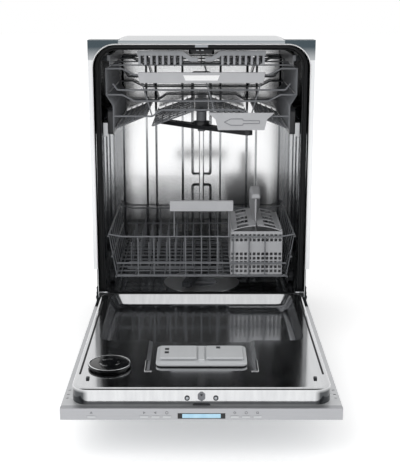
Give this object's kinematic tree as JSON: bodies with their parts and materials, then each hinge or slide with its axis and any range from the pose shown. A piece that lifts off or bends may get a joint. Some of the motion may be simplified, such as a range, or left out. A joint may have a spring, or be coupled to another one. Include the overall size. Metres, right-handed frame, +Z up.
{
  "type": "under-counter dishwasher",
  "caption": "Built-in dishwasher with its drop-down door open, a steel tub, a cutlery tray, two wire racks that pull out, spray arms, a lidded cutlery basket and a hidden control strip.",
  "frame": {"origin": "on the floor, in the middle of the bounding box of the machine with its door open", "axes": "+X to the right seen from the front, +Y from the open door towards the back, +Z up"},
  "size_m": [0.596, 1.2326, 0.86],
  "materials": {
    "stainless": "satin stainless sheet",
    "filter_steel": "perforated stainless sheet",
    "zinc_steel": "zinc plated sheet",
    "spring_steel": "oiled spring wire",
    "door_steel": "grey coated sheet",
    "brushed_strip": "long-grain brushed steel",
    "button_metal": "metallic plastic",
    "display_glass": "dark display window",
    "coated_wire": "nylon coated wire",
    "grey_plastic": "moulded plastic",
    "light_grey_plastic": "moulded plastic",
    "black_plastic": "moulded plastic",
    "clear_plastic": "milky plastic",
    "gasket_rubber": "soft extrusion",
    "bitumen_mat": "bitumen mat"
  },
  "bodies": {
    "cabinet": {"tub_wrap": "stainless", "front_flange": "stainless", "tub_back": "stainless", "tub_floor": "stainless", "corner_plates": "zinc_steel", "latch_strike": "stainless", "ceiling_lamp": "black_plastic", "door_gasket": "gasket_rubber", "base_frame": "black_plastic", "sump": "black_plastic", "filter_plate": "filter_steel", "circulation_pump": "black_plastic", "drain_pump": "black_plastic", "inlet_valve": "black_plastic", "air_break_tank": "clear_plastic", "insulation_mats": "bitumen_mat", "feed_riser": "grey_plastic", "rack_rails": "zinc_steel", "hinge_brackets": "zinc_steel", "door_springs": "spring_steel"},
    "filter": {"filter_cup": "grey_plastic"},
    "front_left_foot": {"foot_front_left": "black_plastic"},
    "front_right_foot": {"foot_front_right": "black_plastic"},
    "rear_foot": {"foot_rear": "black_plastic"},
    "middle_rails": {"rail_middle": "zinc_steel"},
    "cutlery_tray": {"tray_frame": "coated_wire", "tray_combs": "grey_plastic"},
    "upper_rack": {"upper_rack_basket": "coated_wire", "upper_rack_side_plates": "grey_plastic", "upper_rack_runners": "grey_plastic", "upper_rack_handle": "light_grey_plastic", "knife_holder": "grey_plastic", "upper_arm_duct": "grey_plastic"},
    "upper_arm": {"upper_spray_arm": "grey_plastic"},
    "lower_rack": {"lower_rack_basket": "coated_wire", "lower_rack_handle": "light_grey_plastic", "wheel_carriers": "grey_plastic", "cutlery_basket": "grey_plastic"},
    "front_wheel_pair": {"front_wheels": "grey_plastic"},
    "rear_wheel_pair": {"rear_wheels": "grey_plastic"},
    "left_basket_lid": {"cutlery_lid_left": "grey_plastic"},
    "right_basket_lid": {"cutlery_lid_right": "grey_plastic"},
    "lower_arm": {"lower_spray_arm": "grey_plastic"},
    "door": {"door_outer_panel": "door_steel", "door_liner": "stainless", "control_panel": "brushed_strip", "display_window": "display_glass", "door_latch": "black_plastic", "dispenser_body": "light_grey_plastic", "vent_cover": "black_plastic", "hinge_arms": "zinc_steel"},
    "detergent_flap": {"detergent_lid": "light_grey_plastic"},
    "rinse_aid_flap": {"rinse_aid_lid": "light_grey_plastic"},
    "key_1": {"button_1": "button_metal"},
    "key_2": {"button_2": "button_metal"},
    "key_3": {"button_3": "button_metal"},
    "key_4": {"button_4": "button_metal"},
    "key_5": {"button_5": "button_metal"},
    "key_6": {"button_6": "button_metal"},
    "key_7": {"button_7": "button_metal"}
  },
  "joints": [
    {"name": "door_hinge", "type": "hinge", "parent": "cabinet", "child": "door", "pos_m": [0, 0.085, 0.152], "axis": [-1, 0, 0], "range_deg": [0, 90], "deforming": ["door_springs"]},
    {"name": "tray_slide", "type": "slide", "parent": "cabinet", "child": "cutlery_tray", "axis": [0, 1, 0], "range_m": [-0.3, 0]},
    {"name": "upper_rack_slide", "type": "slide", "parent": "cabinet", "child": "upper_rack", "axis": [0, 1, 0], "range_m": [-0.4, 0]},
    {"name": "middle_rail_slide", "type": "slide", "parent": "cabinet", "child": "middle_rails", "axis": [0, 1, 0], "range_m": [-0.2, 0]},
    {"name": "lower_rack_slide", "type": "slide", "parent": "cabinet", "child": "lower_rack", "axis": [0, 1, 0], "range_m": [-0.43, 0]},
    {"name": "front_wheel_roll", "type": "hinge", "parent": "lower_rack", "child": "front_wheel_pair", "pos_m": [0, 0.18, 0.1871], "axis": [1, 0, 0], "range_deg": [0, 1500]},
    {"name": "rear_wheel_roll", "type": "hinge", "parent": "lower_rack", "child": "rear_wheel_pair", "pos_m": [0, 0.47, 0.1871], "axis": [1, 0, 0], "range_deg": [0, 1500]},
    {"name": "upper_arm_spin", "type": "hinge", "parent": "upper_rack", "child": "upper_arm", "pos_m": [0, 0.332, 0.598], "axis": [0, 0, 1], "continuous": true},
    {"name": "lower_arm_spin", "type": "hinge", "parent": "cabinet", "child": "lower_arm", "pos_m": [0, 0.332, 0.174], "axis": [0, 0, 1], "continuous": true},
    {"name": "left_basket_lid_hinge", "type": "hinge", "parent": "lower_rack", "child": "left_basket_lid", "pos_m": [0.0845, 0.247, 0.3329], "axis": [0, 1, 0], "range_deg": [-110, 0]},
    {"name": "right_basket_lid_hinge", "type": "hinge", "parent": "lower_rack", "child": "right_basket_lid", "pos_m": [0.2245, 0.247, 0.3329], "axis": [0, -1, 0], "range_deg": [-110, 0]},
    {"name": "filter_turn", "type": "hinge", "parent": "cabinet", "child": "filter", "pos_m": [0, 0.22, 0.13], "axis": [0, 0, 1], "range_deg": [0, 90]},
    {"name": "front_left_foot_screw", "type": "slide", "parent": "cabinet", "child": "front_left_foot", "axis": [0, 0, -1], "range_m": [0, 0.05]},
    {"name": "front_right_foot_screw", "type": "slide", "parent": "cabinet", "child": "front_right_foot", "axis": [0, 0, -1], "range_m": [0, 0.05]},
    {"name": "rear_foot_screw", "type": "slide", "parent": "cabinet", "child": "rear_foot", "axis": [0, 0, -1], "range_m": [0, 0.05]},
    {"name": "detergent_flap_hinge", "type": "hinge", "parent": "door", "child": "detergent_flap", "pos_m": [-0.053, -0.3605, 0.1742], "axis": [1, 0, 0], "range_deg": [-80, 0]},
    {"name": "rinse_aid_flap_hinge", "type": "hinge", "parent": "door", "child": "rinse_aid_flap", "pos_m": [0.053, -0.3605, 0.1742], "axis": [1, 0, 0], "range_deg": [-80, 0]},
    {"name": "key_1_press", "type": "slide", "parent": "door", "child": "key_1", "axis": [0, 1, 0], "range_m": [0, 0.001], "stiffness_N_per_m": 800},
    {"name": "key_2_press", "type": "slide", "parent": "door", "child": "key_2", "axis": [0, 1, 0], "range_m": [0, 0.001], "stiffness_N_per_m": 800},
    {"name": "key_3_press", "type": "slide", "parent": "door", "child": "key_3", "axis": [0, 1, 0], "range_m": [0, 0.001], "stiffness_N_per_m": 800},
    {"name": "key_4_press", "type": "slide", "parent": "door", "child": "key_4", "axis": [0, 1, 0], "range_m": [0, 0.001], "stiffness_N_per_m": 800},
    {"name": "key_5_press", "type": "slide", "parent": "door", "child": "key_5", "axis": [0, 1, 0], "range_m": [0, 0.001], "stiffness_N_per_m": 800},
    {"name": "key_6_press", "type": "slide", "parent": "door", "child": "key_6", "axis": [0, 1, 0], "range_m": [0, 0.001], "stiffness_N_per_m": 800},
    {"name": "key_7_press", "type": "slide", "parent": "door", "child": "key_7", "axis": [0, 1, 0], "range_m": [0, 0.001], "stiffness_N_per_m": 800}
  ],
  "couplings": [
    {"joint": "middle_rail_slide", "follows": "upper_rack_slide", "ratio": 0.5},
    {"joint": "front_wheel_roll", "follows": "lower_rack_slide", "rad_per_m": -60.606},
    {"joint": "rear_wheel_roll", "follows": "lower_rack_slide", "rad_per_m": -60.606}
  ]
}
